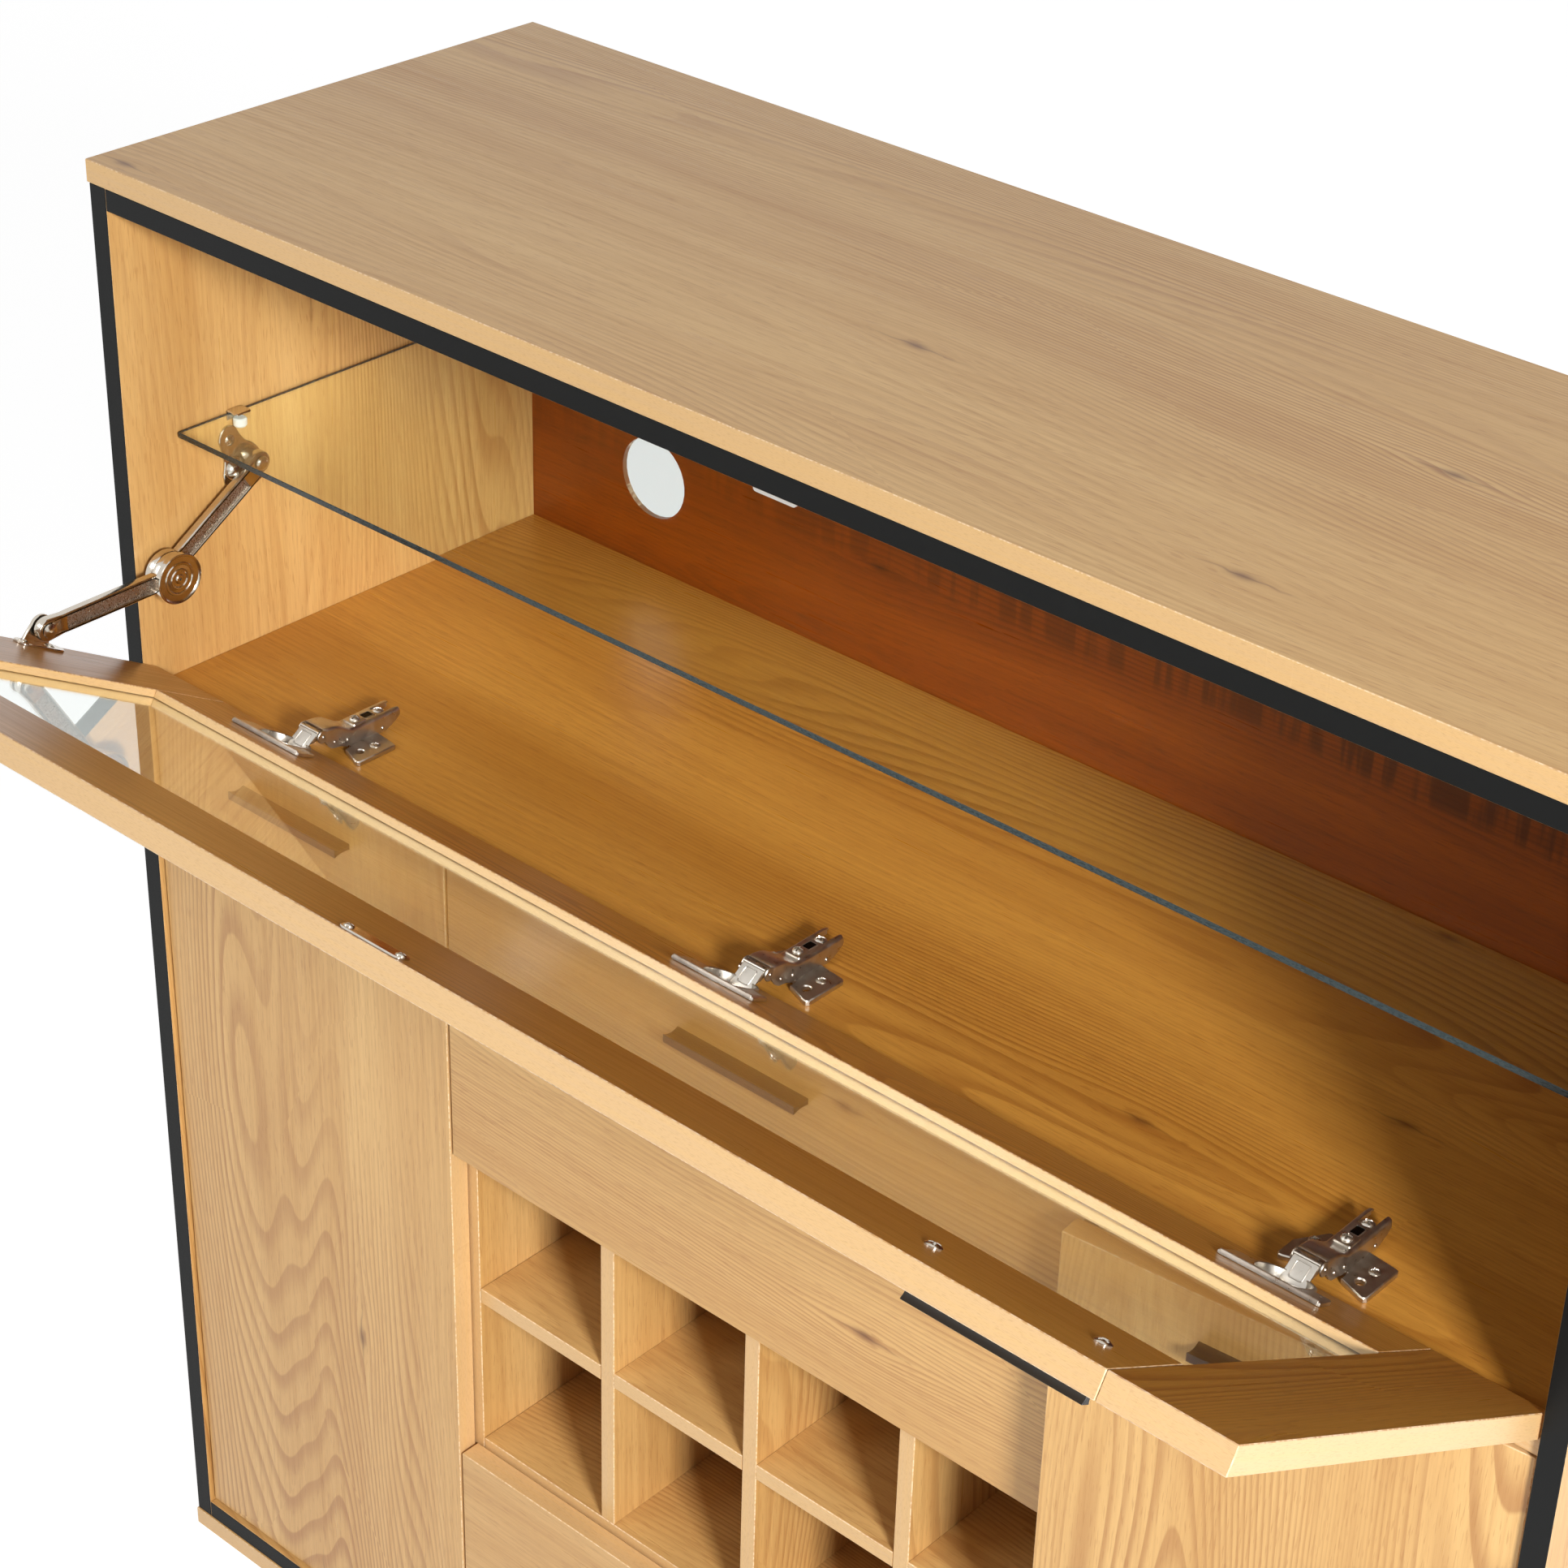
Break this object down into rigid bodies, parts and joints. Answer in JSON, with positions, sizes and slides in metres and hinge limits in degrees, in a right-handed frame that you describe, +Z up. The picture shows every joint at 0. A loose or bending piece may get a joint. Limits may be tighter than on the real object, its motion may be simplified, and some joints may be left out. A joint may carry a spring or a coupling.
{
  "type": "wine cabinet",
  "caption": "Wine cabinet with a glazed drop-down flap on a folding stay, above cupboards, drawers and an open bottle rack.",
  "frame": {"origin": "on the floor under the middle of the carcass's footprint", "axes": "+Z up, +X to the cabinet's right as seen from the front, front towards -Y"},
  "size_m": [1.102, 0.6607, 1.111],
  "materials": {
    "oak": "satin oak-look board",
    "dark_wood": "satin dark wood board",
    "black_pull": "black satin",
    "nickel": "bright nickel",
    "white_plastic": "matt white",
    "clear_glass": "clear"
  },
  "bodies": {
    "cabinet": {"top_panel": "oak", "bottom_panel": "oak", "left_side_panel": "oak", "right_side_panel": "oak", "top_front_rail": "oak", "floor_panel": "oak", "deck": "oak", "back_panel": "dark_wood", "left_partition": "oak", "right_partition": "oak", "rack_floor_panel": "oak", "rack_top_panel": "oak", "rack_shelf": "oak", "rack_divider_1": "oak", "rack_divider_2": "oak", "rack_divider_3": "oak", "left_cupboard_shelf": "oak", "right_cupboard_shelf": "oak", "glass_shelf": "clear_glass", "glass_clip_left_front": "nickel", "glass_clip_left_rear": "nickel", "glass_clip_right_front": "nickel", "glass_clip_right_rear": "nickel", "magnetic_catch": "white_plastic", "flap_hinge_arm_1": "nickel", "flap_hinge_arm_2": "nickel", "flap_hinge_arm_3": "nickel", "left_door_hinge_upper": "nickel", "left_door_hinge_lower": "nickel", "right_door_hinge_upper": "nickel", "right_door_hinge_lower": "nickel", "left_stay_wall_bracket": "nickel"},
    "flap": {"flap_left_stile": "oak", "flap_right_stile": "oak", "flap_hinge_rail": "oak", "flap_free_rail": "oak", "flap_glass": "clear_glass", "flap_pull_left": "black_pull", "flap_pull_right": "black_pull", "strike_plate": "nickel", "flap_hinge_cup_1": "nickel", "flap_hinge_cup_2": "nickel", "flap_hinge_cup_3": "nickel", "left_stay_flap_bracket": "nickel"},
    "left_upper_arm": {"left_stay_upper_arm": "nickel"},
    "left_lower_arm": {"left_stay_lower_arm": "nickel"},
    "left_door": {"left_door": "oak", "left_door_pull": "black_pull", "left_door_cup_upper": "nickel", "left_door_cup_lower": "nickel"},
    "right_door": {"right_door": "oak", "right_door_pull": "black_pull", "right_door_cup_upper": "nickel", "right_door_cup_lower": "nickel"},
    "upper_drawer": {"upper_drawer_front": "oak", "upper_drawer_box": "oak", "upper_drawer_pull": "black_pull"},
    "lower_drawer": {"lower_drawer_front": "oak", "lower_drawer_box": "oak", "lower_drawer_pull": "black_pull"}
  },
  "joints": [
    {"name": "flap_hinge", "type": "hinge", "parent": "cabinet", "child": "flap", "pos_m": [0, -0.1836, 0.7471], "axis": [-1, 0, 0], "range_deg": [0, 60]},
    {"name": "left_upper_arm_pivot", "type": "hinge", "parent": "cabinet", "child": "left_upper_arm", "pos_m": [-0.526, -0.09, 0.879], "axis": [1, 0, 0], "range_deg": [0, 55]},
    {"name": "left_lower_arm_pivot", "type": "hinge", "parent": "flap", "child": "left_lower_arm", "pos_m": [-0.5197, -0.27179, 0.82815], "axis": [1, 0, 0], "range_deg": [0, 7.5]},
    {"name": "left_door_hinge", "type": "hinge", "parent": "cabinet", "child": "left_door", "pos_m": [-0.53, -0.184, 0.033], "axis": [0, 0, -1], "range_deg": [0, 95]},
    {"name": "right_door_hinge", "type": "hinge", "parent": "cabinet", "child": "right_door", "pos_m": [0.53, -0.184, 0.033], "axis": [0, 0, 1], "range_deg": [-5.2, 89.8]},
    {"name": "upper_drawer_slide", "type": "slide", "parent": "cabinet", "child": "upper_drawer", "axis": [0, -1, 0], "range_m": [0, 0.24]},
    {"name": "lower_drawer_slide", "type": "slide", "parent": "cabinet", "child": "lower_drawer", "axis": [0, -1, 0], "range_m": [0, 0.24]}
  ],
  "couplings": [
    {"joint": "left_upper_arm_pivot", "follows": "flap_hinge", "ratio": 0.91436},
    {"joint": "left_lower_arm_pivot", "follows": "flap_hinge", "ratio": 0.12135}
  ]
}
